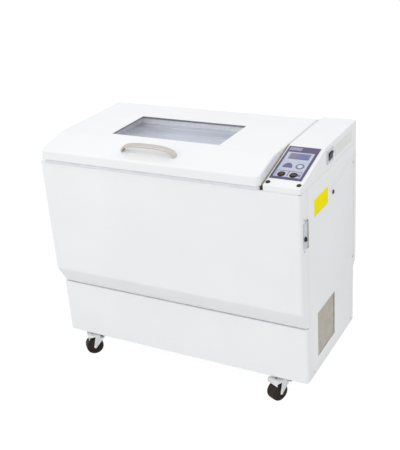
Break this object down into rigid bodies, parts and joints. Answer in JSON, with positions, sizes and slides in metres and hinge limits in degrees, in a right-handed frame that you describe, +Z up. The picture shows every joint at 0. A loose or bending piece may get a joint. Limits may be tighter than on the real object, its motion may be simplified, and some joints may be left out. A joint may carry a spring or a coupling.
{
  "type": "incubated shaker",
  "caption": "Floor-standing incubated shaker on castors: a hinged lid with a window over a heated chamber, an orbiting tray on cranks, and a sloping control housing.",
  "frame": {"origin": "on the floor, under the middle of the bounding box", "axes": "+X to the user's right along the long front, +Y from the front to the back, +Z up"},
  "size_m": [1.15, 0.6112, 1.0275],
  "materials": {
    "white_paint": "satin",
    "stainless": "satin",
    "satin_nickel": "satin",
    "zinc": "satin",
    "cast_iron": "matte",
    "foam": "matte",
    "vent_grey": "matte",
    "pale_grey": "matte",
    "yellow": "satin",
    "dark_brown": "satin",
    "blue_grey": "satin",
    "warm_grey": "satin",
    "panel_purple": "satin",
    "display_blue": "gloss",
    "key_purple": "satin",
    "gasket_rubber": "matte",
    "belt_rubber": "matte",
    "window_glass": "gloss",
    "wheel_black": "satin"
  },
  "bodies": {
    "cabinet": {"base_pan": "white_paint", "front_cover": "white_paint", "front_skirt": "white_paint", "side_panel_left": "white_paint", "side_panel_right": "white_paint", "back_panel": "white_paint", "back_cover": "white_paint", "deck": "white_paint", "chamber_tub": "stainless", "insulation": "foam", "vent_grille": "vent_grey", "side_plate": "yellow", "side_port_plug": "dark_brown", "side_latch_plate": "blue_grey", "side_latch_keeper": "warm_grey", "control_housing": "white_paint", "control_panel": "panel_purple", "display_window": "display_blue", "screw_cap_left": "dark_brown", "screw_cap_right": "dark_brown", "mains_switch_frame": "blue_grey", "housing_side_plate": "pale_grey", "hinge_fixed_leaf": "stainless", "hinge_pin": "stainless", "drive_plate": "cast_iron", "motor": "cast_iron", "drive_belt": "belt_rubber", "fan_motor": "cast_iron", "heater": "satin_nickel"},
    "lid": {"lid_shell": "white_paint", "lid_liner": "stainless", "lid_gasket": "gasket_rubber", "window_outer_pane": "window_glass", "window_inner_pane": "window_glass", "lid_handle": "satin_nickel", "hinge_lid_leaf": "stainless"},
    "latch_knob": {"side_latch_knob": "dark_brown"},
    "key_left": {"key_left": "key_purple"},
    "key_right": {"key_right": "key_purple"},
    "key_start": {"key_start": "blue_grey"},
    "rocker_left": {"rocker_left": "dark_brown"},
    "rocker_right": {"rocker_right": "dark_brown"},
    "mains_rocker": {"mains_switch_rocker": "dark_brown"},
    "main_crank": {"main_crank": "stainless", "driven_pulley": "stainless"},
    "platform": {"platform": "stainless"},
    "idler_left": {"idler_crank_left": "stainless"},
    "idler_right": {"idler_crank_right": "stainless"},
    "motor_rotor": {"motor_pulley": "stainless"},
    "fan_rotor": {"fan_wheel": "stainless"},
    "fork_front_left": {"castor_fork_front_left": "zinc"},
    "wheel_front_left": {"castor_wheel_front_left": "wheel_black"},
    "fork_front_right": {"castor_fork_front_right": "zinc"},
    "wheel_front_right": {"castor_wheel_front_right": "wheel_black"},
    "fork_rear_left": {"castor_fork_rear_left": "zinc"},
    "wheel_rear_left": {"castor_wheel_rear_left": "wheel_black"},
    "fork_rear_right": {"castor_fork_rear_right": "zinc"},
    "wheel_rear_right": {"castor_wheel_rear_right": "wheel_black"},
    "brake_front_left": {"castor_brake_front_left": "warm_grey"},
    "brake_front_right": {"castor_brake_front_right": "warm_grey"}
  },
  "joints": [
    {"name": "lid_hinge", "type": "hinge", "parent": "cabinet", "child": "lid", "pos_m": [0, 0.28345, 0.926], "axis": [-1, 0, 0], "range_deg": [0, 80]},
    {"name": "latch_turn", "type": "hinge", "parent": "cabinet", "child": "latch_knob", "pos_m": [0.5575, -0.26455, 0.739], "axis": [-1, 0, 0], "range_deg": [0, 90]},
    {"name": "key_left_press", "type": "slide", "parent": "cabinet", "child": "key_left", "axis": [0, 0.2487, -0.9686], "range_m": [0, 0.001], "stiffness_N_per_m": 800, "springref_m": -0.0005},
    {"name": "key_right_press", "type": "slide", "parent": "cabinet", "child": "key_right", "axis": [0, 0.2487, -0.9686], "range_m": [0, 0.001], "stiffness_N_per_m": 800, "springref_m": -0.0005},
    {"name": "key_start_press", "type": "slide", "parent": "cabinet", "child": "key_start", "axis": [0, 0.2487, -0.9686], "range_m": [0, 0.001], "stiffness_N_per_m": 800, "springref_m": -0.0005},
    {"name": "rocker_left_tilt", "type": "hinge", "parent": "cabinet", "child": "rocker_left", "pos_m": [0.45345, -0.22339, 0.96014], "axis": [1, 0, 0], "range_deg": [0, 20]},
    {"name": "rocker_right_tilt", "type": "hinge", "parent": "cabinet", "child": "rocker_right", "pos_m": [0.49945, -0.22339, 0.96014], "axis": [1, 0, 0], "range_deg": [0, 20]},
    {"name": "mains_rocker_tilt", "type": "hinge", "parent": "cabinet", "child": "mains_rocker", "pos_m": [0.55625, -0.00155, 0.9615], "axis": [0, -1, 0], "range_deg": [0, 20]},
    {"name": "main_crank_spin", "type": "hinge", "parent": "cabinet", "child": "main_crank", "pos_m": [-0.07605, -0.05855, 0.5], "axis": [0, 0, 1], "continuous": true},
    {"name": "platform_orbit", "type": "hinge", "parent": "main_crank", "child": "platform", "pos_m": [-0.07605, -0.07155, 0.52], "axis": [0, 0, 1], "continuous": true},
    {"name": "idler_left_spin", "type": "hinge", "parent": "cabinet", "child": "idler_left", "pos_m": [-0.33605, 0.06145, 0.5], "axis": [0, 0, 1], "continuous": true},
    {"name": "idler_right_spin", "type": "hinge", "parent": "cabinet", "child": "idler_right", "pos_m": [0.18395, 0.06145, 0.5], "axis": [0, 0, 1], "continuous": true},
    {"name": "motor_spin", "type": "hinge", "parent": "cabinet", "child": "motor_rotor", "pos_m": [0.17895, -0.05855, 0.3], "axis": [0, 0, 1], "continuous": true},
    {"name": "fan_spin", "type": "hinge", "parent": "cabinet", "child": "fan_rotor", "pos_m": [0.3325, -0.00855, 0.75], "axis": [1, 0, 0], "continuous": true},
    {"name": "castor_swivel_front_left", "type": "hinge", "parent": "cabinet", "child": "fork_front_left", "pos_m": [-0.45105, -0.21255, 0.1], "axis": [0, 0, 1], "continuous": true},
    {"name": "castor_roll_front_left", "type": "hinge", "parent": "fork_front_left", "child": "wheel_front_left", "pos_m": [-0.47368, -0.23518, 0.038], "axis": [0.7071, -0.7071, 0], "continuous": true},
    {"name": "castor_swivel_front_right", "type": "hinge", "parent": "cabinet", "child": "fork_front_right", "pos_m": [0.42895, -0.21255, 0.1], "axis": [0, 0, 1], "continuous": true},
    {"name": "castor_roll_front_right", "type": "hinge", "parent": "fork_front_right", "child": "wheel_front_right", "pos_m": [0.41543, -0.24155, 0.038], "axis": [0.9063, -0.4226, 0], "continuous": true},
    {"name": "castor_swivel_rear_left", "type": "hinge", "parent": "cabinet", "child": "fork_rear_left", "pos_m": [-0.45105, 0.19545, 0.1], "axis": [0, 0, 1], "continuous": true},
    {"name": "castor_roll_rear_left", "type": "hinge", "parent": "fork_rear_left", "child": "wheel_rear_left", "pos_m": [-0.4694, 0.16924, 0.038], "axis": [0.8192, -0.5736, 0], "continuous": true},
    {"name": "castor_swivel_rear_right", "type": "hinge", "parent": "cabinet", "child": "fork_rear_right", "pos_m": [0.42895, 0.19545, 0.1], "axis": [0, 0, 1], "continuous": true},
    {"name": "castor_roll_rear_right", "type": "hinge", "parent": "fork_rear_right", "child": "wheel_rear_right", "pos_m": [0.41543, 0.16645, 0.038], "axis": [0.9063, -0.4226, 0], "continuous": true},
    {"name": "castor_brake_front_left_press", "type": "hinge", "parent": "fork_front_left", "child": "brake_front_left", "pos_m": [-0.42736, -0.23624, 0.092], "axis": [0.7071, 0.7071, 0], "range_deg": [0, 20]},
    {"name": "castor_brake_front_right_press", "type": "hinge", "parent": "fork_front_right", "child": "brake_front_right", "pos_m": [0.45931, -0.22671, 0.092], "axis": [0.4226, 0.9063, 0], "range_deg": [0, 20]}
  ],
  "couplings": [
    {"joint": "platform_orbit", "follows": "main_crank_spin", "ratio": -1},
    {"joint": "idler_left_spin", "follows": "main_crank_spin", "ratio": 1},
    {"joint": "idler_right_spin", "follows": "main_crank_spin", "ratio": 1},
    {"joint": "motor_spin", "follows": "main_crank_spin", "ratio": 3}
  ]
}
